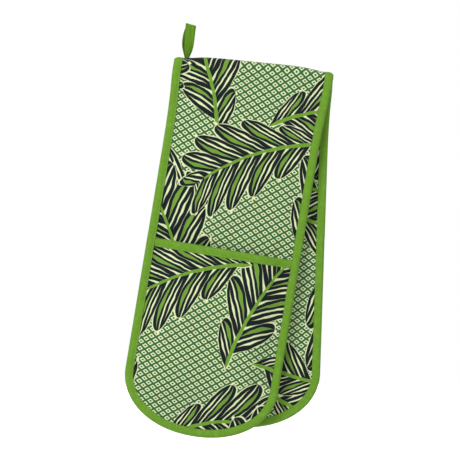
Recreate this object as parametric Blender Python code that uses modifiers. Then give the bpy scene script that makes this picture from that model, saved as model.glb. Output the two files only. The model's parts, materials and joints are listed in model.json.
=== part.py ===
"""Double oven glove: one long quilted strip, folded in half, with a padded hand pocket at each end.

Metres, +Z up, +X to the right and -Y towards the viewer. The glove hangs from its tape loop.
The origin is where a hook bears inside the top of that loop.

The strip is folded over a level line, the fold axis. Each half of it, called an arm here, is built
in its own frame: x across the strip, z up along the strip, y out from the fold. All levels are
distances from the fold plane, measured outward, so both arms are built by the same functions.
"""

import math

import bmesh
import bpy
from mathutils import Matrix, Vector

# Sizes of the whole glove
STRIP_WIDTH = 0.182
FRONT_ARM_LENGTH = 0.4468
BACK_ARM_LENGTH = 0.4328
POCKET_DEPTH = 0.223
END_DEPTH = 0.068
END_SQUARENESS = 2.1
FOLD_FLARE = 0.0032
FOLD_FLARE_REACH = 0.048
FOLD_END_DROP = 0.0047
HANG_TILT = math.radians(5.68)
ARM_FAN = math.radians(3.78)

# Cloth layers
FABRIC_THICKNESS = 0.0008
LAYER_GAP = 0.0003
MID_RADIUS = 0.0065
WADDING_EDGE = 0.0024
WADDING_CROWN = 0.0048
CROWN_RAMP = 0.026

# Pocket layers, and the room that they leave for a hand
POCKET_WADDING_EDGE = 0.0018
POCKET_WADDING_CROWN = 0.0038
POCKET_SLACK = 0.010
SLACK_SIDE_RAMP = 0.032
SLACK_END_RAMP = 0.070
MOUTH_ROOM_REACH = 0.020

# Bias binding and the thread that sews it
BINDING_WIDTH = 0.010
BINDING_THICKNESS = 0.0009
BINDING_STEP = 0.008
BINDING_RIM = 0.003
THREAD_RADIUS = 0.0003
SEAM_INSET = 0.0016

# Hanging loop, a folded tape behind the fold's left end
LOOP_INSET = 0.008
LOOP_TOP = 0.048
LOOP_WIDTH = 0.0125
LOOP_BASE_WIDTH = 0.007
LOOP_WIDENING_START = 0.010
LOOP_WIDENING = 0.018
LOOP_TAPE_THICKNESS = 0.0014
LOOP_BEND_RADIUS = 0.0038
LOOP_SEAT = 0.0094
LOOP_LEG_RISE = 0.009
LOOP_BULGE_HEIGHT = 0.027
LOOP_REAR_SHIFT = 0.003
LOOP_TOP_LEAN = -0.001
LOOP_BASE_HEIGHT = -0.0011
LOOP_HINGE_LEVEL = 0.015
LOOP_TAIL_LENGTH = 0.0126
TACK_TURNS = 5
TACK_INSET = 0.0016

# How finely the cloth is divided
COLUMN_SHARES = (0.0, 0.25, 0.5, 0.72)
STRAIGHT_SHARES = (0.0, 0.1, 0.2, 0.36, 0.66)
POCKET_SHARES = (0.30, 0.62, 1.0)
END_ANGLES = tuple(math.radians(step) for step in (16, 32, 46, 58, 68, 76, 82.5))
FOLD_STEPS = 6
LOOP_BEND_STEPS = 6
LOOP_LEG_STEPS = 6
SHARP_ANGLE = math.radians(40)

# Derived sizes
CLOTH_INSET = BINDING_THICKNESS + LAYER_GAP
MAIN_EDGE_TOP = MID_RADIUS + WADDING_EDGE / 2 + LAYER_GAP + FABRIC_THICKNESS
MAIN_EDGE_UNDER = MID_RADIUS - WADDING_EDGE / 2 - LAYER_GAP - FABRIC_THICKNESS
OUTER_RADIUS = MAIN_EDGE_TOP + LAYER_GAP + BINDING_THICKNESS
LOOP_LEFT_EDGE = LOOP_INSET - STRIP_WIDTH / 2
MOUTH_ROOM = BINDING_THICKNESS + LAYER_GAP
POCKET_EDGE_STACK = 3 * LAYER_GAP + 2 * FABRIC_THICKNESS + POCKET_WADDING_EDGE

# Colours, as shown on a screen, and finishes
BINDING_GREEN = (101, 152, 45)
LOOP_GREEN = (95, 139, 34)
PRINT_GREEN = (150, 172, 92)
LINING_CREAM = (226, 224, 196)
WADDING_WHITE = (236, 236, 230)
THREAD_GREEN = (88, 138, 40)
CLOTH_ROUGHNESS = 0.85
TAPE_ROUGHNESS = 0.75
THREAD_ROUGHNESS = 0.6


class Arm:
    """One half of the folded strip: its side of the fold plane, its lean and how far down it reaches."""

    def __init__(self, name, side, lean, length):
        self.name = name
        self.side = side
        self.lean = lean
        self.reach = length - OUTER_RADIUS
        self.end_start = self.reach - END_DEPTH
        self.mouth = self.reach - POCKET_DEPTH


def clear_scene():
    for old in list(bpy.data.objects):
        bpy.data.objects.remove(old, do_unlink=True)


def linear(channel):
    """A colour channel as shown on a screen, 0 to 255, turned into the linear value that shaders take."""
    share = channel / 255
    if share <= 0.04045:
        return share / 12.92
    return ((share + 0.055) / 1.055) ** 2.4


def make_material(name, colour, roughness):
    material = bpy.data.materials.new(name)
    material.use_nodes = True
    shader = material.node_tree.nodes["Principled BSDF"]
    shader.inputs["Base Color"].default_value = (*[linear(channel) for channel in colour], 1)
    shader.inputs["Roughness"].default_value = roughness
    shader.inputs["Metallic"].default_value = 0
    material.diffuse_color = shader.inputs["Base Color"].default_value
    return material


def make_materials():
    return {
        "binding": make_material("green_cotton_binding", BINDING_GREEN, CLOTH_ROUGHNESS),
        "tape": make_material("green_tape", LOOP_GREEN, TAPE_ROUGHNESS),
        "print": make_material("printed_cotton", PRINT_GREEN, CLOTH_ROUGHNESS),
        "lining": make_material("plain_lining_cotton", LINING_CREAM, CLOTH_ROUGHNESS),
        "wadding": make_material("white_wadding", WADDING_WHITE, CLOTH_ROUGHNESS),
        "thread": make_material("green_sewing_thread", THREAD_GREEN, THREAD_ROUGHNESS),
    }


def smooth(share):
    """0 below 0, 1 above 1, and an even S-shaped rise between them."""
    share = min(max(share, 0), 1)
    return share * share * (3 - 2 * share)


def half_width(down):
    """Half the strip's width at a distance below the fold axis. The strip flares a little at the fold."""
    return STRIP_WIDTH / 2 + FOLD_FLARE * math.exp(-((down / FOLD_FLARE_REACH) ** 2))


def fold_drop(x):
    """How far the fold sinks below its level line at a place along its crest: only near its two ends."""
    return FOLD_END_DROP * min(1, abs(x) / (half_width(0) - CLOTH_INSET)) ** 4


def outline(base, angle, inset):
    """A point on the strip's right edge, as (x, distance down). The angle is 0 on the straight."""
    power = 2 / END_SQUARENESS
    across = (half_width(base) - inset) * math.cos(angle) ** power
    return across, base + (END_DEPTH - inset) * math.sin(angle) ** power


def edge_distance(arm, x, down):
    """Roughly how far a point of the cloth lies inside the strip's bound edge."""
    reach = half_width(down)
    along = max(0, (down - arm.end_start) / END_DEPTH)
    if along == 0:
        return reach - abs(x)
    ring = (abs(x / reach) ** END_SQUARENESS + along**END_SQUARENESS) ** (1 / END_SQUARENESS)
    return math.hypot(x, along * END_DEPTH) * (1 / ring - 1)


def inside_rim(distance):
    """Distance inside the rim, where the binding's seam holds the layers flat."""
    return distance - BINDING_WIDTH - BINDING_RIM


def crown(distance):
    """How full the wadding is, from 0 at the binding's rim to 1 inside."""
    return smooth(inside_rim(distance) / CROWN_RAMP)


def half_wadding(distance):
    return (WADDING_EDGE + (WADDING_CROWN - WADDING_EDGE) * crown(distance)) / 2


def mouth_room(arm, down):
    """Extra room under the pocket beside its mouth, where the mouth binding's inner flap lies."""
    return MOUTH_ROOM * (1 - smooth((down - arm.mouth - BINDING_WIDTH - LAYER_GAP) / MOUTH_ROOM_REACH))


def pocket_floor(arm, x, down):
    """The level of the pocket lining's inner face: the strip's face, plus the room for a hand."""
    distance = edge_distance(arm, x, down)
    face = MID_RADIUS + half_wadding(distance) + LAYER_GAP + FABRIC_THICKNESS
    sides = smooth(inside_rim(distance) / SLACK_SIDE_RAMP)
    end = smooth(inside_rim(arm.reach - down) / SLACK_END_RAMP)
    return face + LAYER_GAP + POCKET_SLACK * sides * end + mouth_room(arm, down)


def pocket_wadding(arm, x, down):
    distance = min(edge_distance(arm, x, down), down - arm.mouth)
    return POCKET_WADDING_EDGE + (POCKET_WADDING_CROWN - POCKET_WADDING_EDGE) * crown(distance)


def strip_levels(layer, distance):
    """Lower and upper level of one of the strip's three layers, at a distance inside its edge."""
    half = half_wadding(distance)
    if layer == "inner_fabric":
        return MID_RADIUS - half - LAYER_GAP - FABRIC_THICKNESS, MID_RADIUS - half - LAYER_GAP
    if layer == "wadding":
        return MID_RADIUS - half, MID_RADIUS + half
    return MID_RADIUS + half + LAYER_GAP, MID_RADIUS + half + LAYER_GAP + FABRIC_THICKNESS


def pocket_levels(layer, arm, x, down):
    """Lower and upper level of one of the pocket's three layers."""
    lining = pocket_floor(arm, x, down)
    wadding = lining + FABRIC_THICKNESS + LAYER_GAP
    face = wadding + pocket_wadding(arm, x, down) + LAYER_GAP
    if layer == "pocket_lining":
        return lining, lining + FABRIC_THICKNESS
    if layer == "pocket_wadding":
        return wadding, face - LAYER_GAP
    return face, face + FABRIC_THICKNESS


def column_shares():
    """Places across the strip as shares of its half width, with a column at the binding's inner edge."""
    inner = 1 - (BINDING_WIDTH - CLOTH_INSET) / (STRIP_WIDTH / 2 - CLOTH_INSET)
    right = [*COLUMN_SHARES, inner, 1.0]
    return [-share for share in reversed(right[1:])] + right


def strip_rows(arm):
    """Rows down the strip as (base, angle), from the fold to the end."""
    open_part = [(arm.mouth * share, 0) for share in STRAIGHT_SHARES]
    return open_part + pocket_rows(arm)


def pocket_rows(arm):
    """Rows down the pocket as (base, angle). The first is its cut edge and the second the binding's."""
    first = arm.mouth + CLOTH_INSET
    second = arm.mouth + BINDING_WIDTH + LAYER_GAP
    straight = [second + (arm.end_start - second) * share for share in POCKET_SHARES]
    end = [(arm.end_start, angle) for angle in END_ANGLES]
    return [(base, 0) for base in (first, second, *straight)] + end


def binding_rows(arm):
    """Rows of the edge binding, which steps up on to the pocket just before the pocket's mouth."""
    top = [(arm.mouth * share, 0) for share in STRAIGHT_SHARES]
    step = [(arm.mouth - BINDING_STEP, 0), (arm.mouth - BINDING_STEP / 2, 0), (arm.mouth, 0)]
    return top + step + pocket_rows(arm)


def arm_point(arm, x, down, level):
    """A point in the arm's frame. At the fold the cloth is cut along the fold's own slanting line."""
    if down > 0:
        return Vector((x, arm.side * level, -down))
    height = x * math.tan(arm.lean) - fold_drop(x) - LAYER_GAP
    return Vector((x, arm.side * level, height))


def fold_point(x, level, turn):
    """A point on the folded stretch, in the fold's frame, at a turn from 0 behind to pi in front."""
    height = level * math.sin(turn) - fold_drop(x)
    return Vector((x / math.cos(ARM_FAN), level * math.cos(turn), height))


def new_object(name, mesh, material, parent, collection):
    for polygon in mesh.polygons:
        polygon.use_smooth = True
    mesh.set_sharp_from_angle(angle=SHARP_ANGLE)
    mesh.materials.append(material)
    piece = bpy.data.objects.new(name, mesh)
    piece.parent = parent
    collection.objects.link(piece)
    return piece


def new_empty(name, location, rotation, parent, collection):
    empty = bpy.data.objects.new(name, None)
    empty.empty_display_size = BINDING_WIDTH
    empty.location = location
    empty.rotation_euler = rotation
    empty.parent = parent
    collection.objects.link(empty)
    return empty


def grid_faces(bm, columns, rows):
    """A flat grid with its corners keyed by (column, row), its squares cut slanting to the middle."""
    bmesh.ops.create_grid(bm, x_segments=columns, y_segments=rows, size=1)
    corners = {}
    for vertex in bm.verts:
        column = round((vertex.co.x + 1) / 2 * columns)
        row = round((vertex.co.y + 1) / 2 * rows)
        corners[column, row] = vertex
    for column in range(columns):
        outer, inner = (column, column + 1) if 2 * column < columns else (column + 1, column)
        for row in range(rows):
            low = corners[outer, row]
            high = corners[inner, row + 1]
            face = next(face for face in low.link_faces if face in high.link_faces)
            bmesh.utils.face_split(face, low, high)
    return corners


def layer_mesh(name, columns, rows, place):
    """A closed sheet of cloth. place(column, row, side) gives its lower points (side 0) and upper ones."""
    bm = bmesh.new()
    corners = grid_faces(bm, columns, rows)
    keys = {vertex: key for key, vertex in corners.items()}
    lower = list(bm.verts)
    extruded = bmesh.ops.extrude_face_region(bm, geom=list(bm.faces), use_keep_orig=True)
    upper = [item for item in extruded["geom"] if isinstance(item, bmesh.types.BMVert)]
    for vertex in upper:
        twin = min(lower, key=lambda other: (other.co - vertex.co).length_squared)
        keys[vertex] = keys[twin]
    for vertex in lower:
        vertex.co = place(*keys[vertex], 0)
    for vertex in upper:
        vertex.co = place(*keys[vertex], 1)
    bmesh.ops.recalc_face_normals(bm, faces=bm.faces)
    mesh = bpy.data.meshes.new(name)
    bm.to_mesh(mesh)
    bm.free()
    return mesh


def open_mesh(name, columns, rows, place, outward):
    """An open surface for Solidify, turned so that its normals agree with the vector outward."""
    bm = bmesh.new()
    corners = grid_faces(bm, columns, rows)
    for key, vertex in corners.items():
        vertex.co = place(*key)
    bm.normal_update()
    first = next(face for face in corners[0, 0].link_faces if corners[1, 1] in face.verts)
    if first.normal.dot(outward) < 0:
        bmesh.ops.reverse_faces(bm, faces=bm.faces)
    mesh = bpy.data.meshes.new(name)
    bm.to_mesh(mesh)
    bm.free()
    return mesh


def thicken(piece, thickness, offset):
    modifier = piece.modifiers.new("thickness", "SOLIDIFY")
    modifier.thickness = thickness
    modifier.offset = offset
    modifier.use_even_offset = True
    modifier.use_rim = True


def add_strip_layer(arm, layer, material, parent, collection):
    shares = column_shares()
    rows = strip_rows(arm)

    def place(column, row, side):
        base, angle = rows[row]
        edge, down = outline(base, angle, CLOTH_INSET)
        x = shares[column] * edge
        level = strip_levels(layer, edge_distance(arm, x, down))[side]
        return arm_point(arm, x, down, level)

    name = f"{arm.name}_{layer}"
    mesh = layer_mesh(name, len(shares) - 1, len(rows) - 1, place)
    return new_object(name, mesh, material, parent, collection)


def add_pocket_layer(arm, layer, material, parent, collection):
    shares = column_shares()
    rows = pocket_rows(arm)

    def place(column, row, side):
        base, angle = rows[row]
        edge, down = outline(base, angle, CLOTH_INSET)
        x = shares[column] * edge
        level = pocket_levels(layer, arm, x, down)[side]
        return Vector((x, arm.side * level, -down))

    name = f"{arm.name}_{layer}"
    mesh = layer_mesh(name, len(shares) - 1, len(rows) - 1, place)
    return new_object(name, mesh, material, parent, collection)


def add_fold_layer(layer, material, parent, collection):
    shares = column_shares()
    edge = half_width(0) - CLOTH_INSET

    def place(column, row, side):
        x = shares[column] * edge
        level = strip_levels(layer, half_width(0) - abs(x))[side]
        return fold_point(x, level, math.pi * row / FOLD_STEPS)

    name = f"fold_{layer}"
    mesh = layer_mesh(name, len(shares) - 1, FOLD_STEPS, place)
    return new_object(name, mesh, material, parent, collection)


def flap_level(arm, down):
    """The level of the edge binding's outer skin, on the bare strip or on the pocket."""
    pocket = POCKET_EDGE_STACK + mouth_room(arm, max(down, arm.mouth))
    step = smooth((down - arm.mouth + BINDING_STEP) / BINDING_STEP)
    return OUTER_RADIUS + pocket * step


def binding_profile(low, high):
    """The binding's outer skin in section, as (inset, level), from the outer flap round to the inner."""
    corner = BINDING_THICKNESS
    return (
        (BINDING_WIDTH, high),
        (corner, high),
        (0, high - corner),
        (0, low + corner),
        (corner, low),
        (BINDING_WIDTH, low),
    )


def edge_stations(rows):
    """Stations round an arm as (base, angle, side): down the right edge, round, and up the left."""
    right = [(base, angle, 1) for base, angle in rows]
    return right + [(base, angle, -1) for base, angle in reversed(rows)]


def edge_point(arm, station, inset, level):
    base, angle, side = station
    across, down = outline(base, angle, inset)
    return arm_point(arm, side * across, down, level)


def add_edge_binding(arm, material, parent, collection):
    stations = edge_stations(binding_rows(arm))
    under = MAIN_EDGE_UNDER - LAYER_GAP - BINDING_THICKNESS

    def place(column, row):
        down = outline(*stations[row][:2], 0)[1]
        inset, level = binding_profile(under, flap_level(arm, down))[column]
        return edge_point(arm, stations[row], inset, level)

    name = f"{arm.name}_edge_binding"
    outward = Vector((0, arm.side, 0))
    mesh = open_mesh(name, 5, len(stations) - 1, place, outward)
    piece = new_object(name, mesh, material, parent, collection)
    thicken(piece, BINDING_THICKNESS, -1)
    return piece


def add_fold_binding(name, side, material, parent, collection):
    under = MAIN_EDGE_UNDER - LAYER_GAP - BINDING_THICKNESS
    profile = binding_profile(under, OUTER_RADIUS)

    def place(column, row):
        inset, level = profile[column]
        return fold_point(side * (half_width(0) - inset), level, math.pi * row / FOLD_STEPS)

    mesh = open_mesh(name, 5, FOLD_STEPS, place, Vector((0, 1, 0)))
    piece = new_object(name, mesh, material, parent, collection)
    thicken(piece, BINDING_THICKNESS, -1)
    return piece


def mouth_places(arm):
    """Places along the pocket's mouth, from the left edge binding to the right one."""
    edge = half_width(arm.mouth) - CLOTH_INSET
    end = half_width(arm.mouth) - BINDING_WIDTH - LAYER_GAP
    inner = [share * edge for share in column_shares() if abs(share) <= max(COLUMN_SHARES)]
    return [-end, *inner, end]


def add_mouth_binding(arm, material, parent, collection):
    places = mouth_places(arm)
    cut = arm.mouth + CLOTH_INSET

    def place(column, row):
        x = places[row]
        high = pocket_levels("pocket_face", arm, x, cut)[1] + LAYER_GAP + BINDING_THICKNESS
        low = pocket_floor(arm, x, cut) - LAYER_GAP - BINDING_THICKNESS
        inset, level = binding_profile(low, high)[column]
        return Vector((x, arm.side * level, -arm.mouth - inset))

    name = f"{arm.name}_mouth_binding"
    mesh = open_mesh(name, 5, len(places) - 1, place, Vector((0, arm.side, 0)))
    piece = new_object(name, mesh, material, parent, collection)
    thicken(piece, BINDING_THICKNESS, -1)
    return piece


def add_thread(name, points, material, parent, collection):
    """A sewing thread as one thin tube through its points."""
    curve = bpy.data.curves.new(name, "CURVE")
    curve.dimensions = "3D"
    curve.bevel_depth = THREAD_RADIUS
    curve.bevel_resolution = 0
    curve.use_fill_caps = True
    spline = curve.splines.new("POLY")
    spline.points.add(len(points) - 1)
    for target, point in zip(spline.points, points):
        target.co = (*point, 1)
    curve.materials.append(material)
    piece = bpy.data.objects.new(name, curve)
    piece.parent = parent
    collection.objects.link(piece)
    return piece


def add_edge_seams(arm, material, parent, collection):
    """The stitching of the edge binding: needle thread outside and bobbin thread inside."""
    stations = edge_stations(binding_rows(arm))
    inset = BINDING_WIDTH - SEAM_INSET
    rise = LAYER_GAP + THREAD_RADIUS
    under = MAIN_EDGE_UNDER - LAYER_GAP - BINDING_THICKNESS - rise
    outer = []
    inner = []
    for station in stations:
        down = outline(*station[:2], 0)[1]
        outer.append(edge_point(arm, station, inset, flap_level(arm, down) + rise))
        inner.append(edge_point(arm, station, inset, under))
    add_thread(f"{arm.name}_edge_seam_outer", outer, material, parent, collection)
    add_thread(f"{arm.name}_edge_seam_inner", inner, material, parent, collection)


def add_mouth_seam(arm, material, parent, collection):
    cut = arm.mouth + CLOTH_INSET
    rise = 2 * LAYER_GAP + BINDING_THICKNESS + THREAD_RADIUS
    points = []
    for x in mouth_places(arm):
        level = pocket_levels("pocket_face", arm, x, cut)[1] + rise
        points.append(Vector((x, arm.side * level, -arm.mouth - BINDING_WIDTH + SEAM_INSET)))
    add_thread(f"{arm.name}_mouth_seam", points, material, parent, collection)


def add_fold_seam(name, side, material, parent, collection):
    x = half_width(0) - BINDING_WIDTH + SEAM_INSET
    level = OUTER_RADIUS + LAYER_GAP + THREAD_RADIUS
    turns = [math.pi * step / FOLD_STEPS for step in range(FOLD_STEPS + 1)]
    points = [fold_point(side * x, level, turn) for turn in turns]
    add_thread(name, points, material, parent, collection)


def add_arm(arm, materials, parent, collection):
    add_strip_layer(arm, "inner_fabric", materials["print"], parent, collection)
    add_strip_layer(arm, "wadding", materials["wadding"], parent, collection)
    add_strip_layer(arm, "face_fabric", materials["print"], parent, collection)
    add_pocket_layer(arm, "pocket_lining", materials["lining"], parent, collection)
    add_pocket_layer(arm, "pocket_wadding", materials["wadding"], parent, collection)
    add_pocket_layer(arm, "pocket_face", materials["print"], parent, collection)
    add_edge_binding(arm, materials["binding"], parent, collection)
    add_mouth_binding(arm, materials["binding"], parent, collection)
    add_edge_seams(arm, materials["thread"], parent, collection)
    add_mouth_seam(arm, materials["thread"], parent, collection)


def add_fold(materials, parent, collection):
    add_fold_layer("inner_fabric", materials["print"], parent, collection)
    add_fold_layer("wadding", materials["wadding"], parent, collection)
    add_fold_layer("face_fabric", materials["print"], parent, collection)
    for name, side in (("left", -1), ("right", 1)):
        add_fold_binding(f"fold_binding_{name}", side, materials["binding"], parent, collection)
        add_fold_seam(f"fold_seam_{name}", side, materials["thread"], parent, collection)


def loop_levels():
    """Levels of the tape's middle line: front leg at its base and above, rear leg at its base and above."""
    front_base = LOOP_SEAT + LOOP_TAPE_THICKNESS / 2
    front = OUTER_RADIUS + LAYER_GAP + LOOP_TAPE_THICKNESS / 2
    rear_base = front_base + LOOP_TAPE_THICKNESS + LAYER_GAP
    return front_base, front, rear_base, front + 2 * LOOP_BEND_RADIUS


def loop_path():
    """The tape's middle line as (level, height, turn): up the front leg, over the top, down the rear leg.

    The turn is 0 on the front leg and 1 at the rear leg's foot.
    """
    front_base, front, rear_base, rear = loop_levels()
    bend_height = LOOP_TOP - LOOP_TAPE_THICKNESS / 2 - LOOP_BEND_RADIUS
    centre = front + LOOP_BEND_RADIUS
    heights = [LOOP_BASE_HEIGHT + (bend_height - LOOP_BASE_HEIGHT) * step / LOOP_LEG_STEPS
               for step in range(LOOP_LEG_STEPS)]
    path = []
    for height in heights:
        rise = smooth((height - LOOP_BASE_HEIGHT) / LOOP_LEG_RISE)
        path.append((front_base + (front - front_base) * rise, height, 0))
    for step in range(LOOP_BEND_STEPS + 1):
        turn = math.pi * step / LOOP_BEND_STEPS
        level = centre - LOOP_BEND_RADIUS * math.cos(turn)
        path.append((level, bend_height + LOOP_BEND_RADIUS * math.sin(turn), 0))
    for height in reversed(heights):
        bulge = smooth((height - LOOP_BASE_HEIGHT) / LOOP_BULGE_HEIGHT)
        turn = (bend_height - height) / (bend_height - LOOP_BASE_HEIGHT)
        path.append((rear_base + (rear - rear_base) * bulge, height, turn))
    return path


def loop_centre(height, turn):
    """The middle of the tape's width. Its left edge runs straight up, and the rear leg lies further left."""
    lean = LOOP_TOP_LEAN * smooth(height / LOOP_TOP)
    return LOOP_LEFT_EDGE + loop_width(height) / 2 + lean - LOOP_REAR_SHIFT * math.sin(math.pi * turn)


def loop_width(height):
    widening = smooth((height - LOOP_WIDENING_START) / LOOP_WIDENING)
    return LOOP_BASE_WIDTH + (LOOP_WIDTH - LOOP_BASE_WIDTH) * widening


def hook_point():
    """Where a hook bears inside the top of the loop, in the fold's frame."""
    level = loop_levels()[1] + LOOP_BEND_RADIUS
    return Vector((loop_centre(LOOP_TOP, 0), level, LOOP_TOP - LOOP_TAPE_THICKNESS))


def add_loop(material, hinge, collection):
    path = loop_path()
    to_hinge = Matrix.Translation(-hinge.location)

    def place(column, row):
        level, height, turn = path[row]
        x = loop_centre(height, turn) + (column - 1) * loop_width(height) / 2
        return to_hinge @ Vector((x, level, height))

    mesh = open_mesh("hanging_loop", 2, len(path) - 1, place, Vector((0, -1, 0)))
    piece = new_object("hanging_loop", mesh, material, hinge, collection)
    thicken(piece, LOOP_TAPE_THICKNESS, 0)
    return piece


def add_loop_tail(material, parent, collection):
    """The sewn ends of the loop's tape, one on the other, flat on the strip's face below the loop."""
    thickness = 2 * LOOP_TAPE_THICKNESS
    top = LOOP_BASE_HEIGHT - LAYER_GAP
    middle = Vector((loop_centre(0, 0), LOOP_SEAT + thickness / 2, top - LOOP_TAIL_LENGTH / 2))
    size = Matrix.Diagonal((LOOP_BASE_WIDTH, thickness, LOOP_TAIL_LENGTH, 1))
    bm = bmesh.new()
    bmesh.ops.create_cube(bm, size=1, matrix=Matrix.Translation(middle) @ size)
    mesh = bpy.data.meshes.new("loop_tail")
    bm.to_mesh(mesh)
    bm.free()
    piece = new_object("loop_tail", mesh, material, parent, collection)
    bevel = piece.modifiers.new("soft_edges", "BEVEL")
    bevel.width = LOOP_TAPE_THICKNESS / 3
    bevel.segments = 1
    return piece


def add_loop_tack(material, parent, collection):
    """The zigzag of thread that tacks the loop's tail down."""
    level = LOOP_SEAT + 2 * LOOP_TAPE_THICKNESS + LAYER_GAP + THREAD_RADIUS
    top = LOOP_BASE_HEIGHT - LAYER_GAP - TACK_INSET
    pitch = (LOOP_TAIL_LENGTH - 2 * TACK_INSET) / TACK_TURNS
    reach = LOOP_BASE_WIDTH / 2 - TACK_INSET
    points = []
    for turn in range(TACK_TURNS + 1):
        side = 1 - 2 * (turn % 2)
        points.append(Vector((loop_centre(0, 0) + side * reach, level, top - pitch * turn)))
    add_thread("loop_tack", points, material, parent, collection)


def main():
    clear_scene()
    collection = bpy.data.collections.new("double_oven_glove")
    bpy.context.scene.collection.children.link(collection)
    materials = make_materials()
    arms = (
        Arm("back", 1, -ARM_FAN, BACK_ARM_LENGTH),
        Arm("front", -1, ARM_FAN, FRONT_ARM_LENGTH),
    )
    tilt = Matrix.Rotation(HANG_TILT, 4, "Y")
    fold_axis = new_empty("fold_axis", -(tilt @ hook_point()), (0, HANG_TILT, 0), None, collection)
    for arm in arms:
        frame = new_empty(f"{arm.name}_arm_frame", Vector(), (0, arm.lean, 0), fold_axis, collection)
        add_arm(arm, materials, frame, collection)
    add_fold(materials, fold_axis, collection)
    hinge_place = Vector((loop_centre(0, 0), LOOP_HINGE_LEVEL, LOOP_BASE_HEIGHT))
    loop_hinge = new_empty("loop_hinge", hinge_place, (0, 0, 0), fold_axis, collection)
    add_loop(materials["tape"], loop_hinge, collection)
    add_loop_tail(materials["tape"], fold_axis, collection)
    add_loop_tack(materials["thread"], fold_axis, collection)


main()
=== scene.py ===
"""Looks of the double oven glove: printed cotton, padding, bias binding, stitches and loop.

The shapes follow the same formulas as the solids. The strip is one continuous cloth that runs
from the back arm's end over the fold to the front arm's end. Levels are distances from the fold
plane. Metres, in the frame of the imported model.
"""

import json
import math
from functools import partialmethod

import bpy
import bmesh
import numpy as np
from mathutils import Matrix, Vector


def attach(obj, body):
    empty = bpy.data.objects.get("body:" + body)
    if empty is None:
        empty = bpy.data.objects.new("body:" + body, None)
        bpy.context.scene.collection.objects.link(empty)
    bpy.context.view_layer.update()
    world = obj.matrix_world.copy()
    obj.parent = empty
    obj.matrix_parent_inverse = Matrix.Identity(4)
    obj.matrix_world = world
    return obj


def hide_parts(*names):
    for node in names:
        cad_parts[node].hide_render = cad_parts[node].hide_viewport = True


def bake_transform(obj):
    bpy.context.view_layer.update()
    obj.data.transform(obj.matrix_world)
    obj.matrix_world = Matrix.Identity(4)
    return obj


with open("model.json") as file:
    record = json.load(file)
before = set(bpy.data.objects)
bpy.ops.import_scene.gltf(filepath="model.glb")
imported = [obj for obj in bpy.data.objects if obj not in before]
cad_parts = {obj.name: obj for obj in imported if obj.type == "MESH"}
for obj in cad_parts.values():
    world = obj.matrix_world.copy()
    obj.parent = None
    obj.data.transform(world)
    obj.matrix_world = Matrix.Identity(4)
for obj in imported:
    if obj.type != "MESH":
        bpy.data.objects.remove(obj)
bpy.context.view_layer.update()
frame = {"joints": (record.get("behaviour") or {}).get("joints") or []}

# Sizes of the solids
STRIP_WIDTH = 0.182
FRONT_ARM_LENGTH = 0.4468
BACK_ARM_LENGTH = 0.4328
POCKET_DEPTH = 0.223
END_DEPTH = 0.068
END_SQUARENESS = 2.1
END_POWER = 2 / END_SQUARENESS
FOLD_FLARE = 0.0032
FOLD_FLARE_REACH = 0.048
FOLD_END_DROP = 0.0047
HANG_TILT = math.radians(5.68)
ARM_FAN = math.radians(3.78)
FABRIC = 0.0008
GAP = 0.0003
MID_RADIUS = 0.0065
WADDING_EDGE = 0.0024
WADDING_CROWN = 0.0048
CROWN_RAMP = 0.026
POCKET_WADDING_EDGE = 0.0018
POCKET_WADDING_CROWN = 0.0038
POCKET_SLACK = 0.010
SLACK_SIDE_RAMP = 0.032
SLACK_END_RAMP = 0.070
MOUTH_ROOM_REACH = 0.020
BINDING_WIDTH = 0.010
BINDING = 0.0009
BINDING_STEP = 0.008
BINDING_RIM = 0.003
SEAM_INSET = 0.0016
CLOTH_INSET = BINDING + GAP
OUTER_RADIUS = MID_RADIUS + WADDING_EDGE / 2 + 2 * GAP + FABRIC + BINDING
UNDER_LEVEL = MID_RADIUS - WADDING_EDGE / 2 - 2 * GAP - FABRIC - BINDING
MOUTH_ROOM = BINDING + GAP
POCKET_EDGE_STACK = 3 * GAP + 2 * FABRIC + POCKET_WADDING_EDGE

# How finely the soft pieces are divided
CLOTH_STEP = 0.003
BINDING_STATION = 0.0014
EDGE_SAMPLES = 2001

# Stitches
STITCH_PITCH = 0.0029
STITCH_LENGTH = 0.0021
STITCH_RADIUS = 0.00032
STITCH_TIP = 0.25
STITCH_RISE = 0.00018
STITCH_SINK = 0.0003
STITCH_RINGS = 6
STITCH_SIDES = 6
THREAD_AROUND = 0.002

# Softness of the cloth
SLANT_REACH = 0.045
SEAM_HOLD = 0.018
COVERED_FREEDOM = 0.35
FOLD_HOLD = 0.7
FOLD_HOLD_REACH = 0.03
HELD_UNDER = 1e-3
SEED_WAVE = 0.0006
SEED_WAVE_LENGTH = 0.06
SETTLE_FRAMES = 22
SETTLE_CAP = 0.0018
# The cloth is 0.6% larger than its place, which shrink_min says
CLOTH_SETTINGS = {"quality": 4, "mass": 0.3, "tension_stiffness": 12, "compression_stiffness": 12,
                  "shear_stiffness": 4, "bending_stiffness": 0.4, "shrink_min": -0.006}
PUCKER = 0.00022
PUCKER_LENGTH = 0.011
PUCKER_REACH = 0.010
PUCKER_START = 0.002
LINING_WAVES = 0.0006
LINING_WAVE_LENGTH = 0.05
INNER_DROP = 0.4
INNER_FULLNESS = 0.25
INNER_TURN = 0.0020
# How far each layer of the strip is drawn in at the fold's ends, as a share of its width
BITES = {"inner": 0.072, "wadding": 0.24, "face": 0}
BITE_REACH = 0.016
POCKET_PRINT_SHIFT = {"front": (0.061, 0.143), "back": (0.115, 0.31)}

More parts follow.
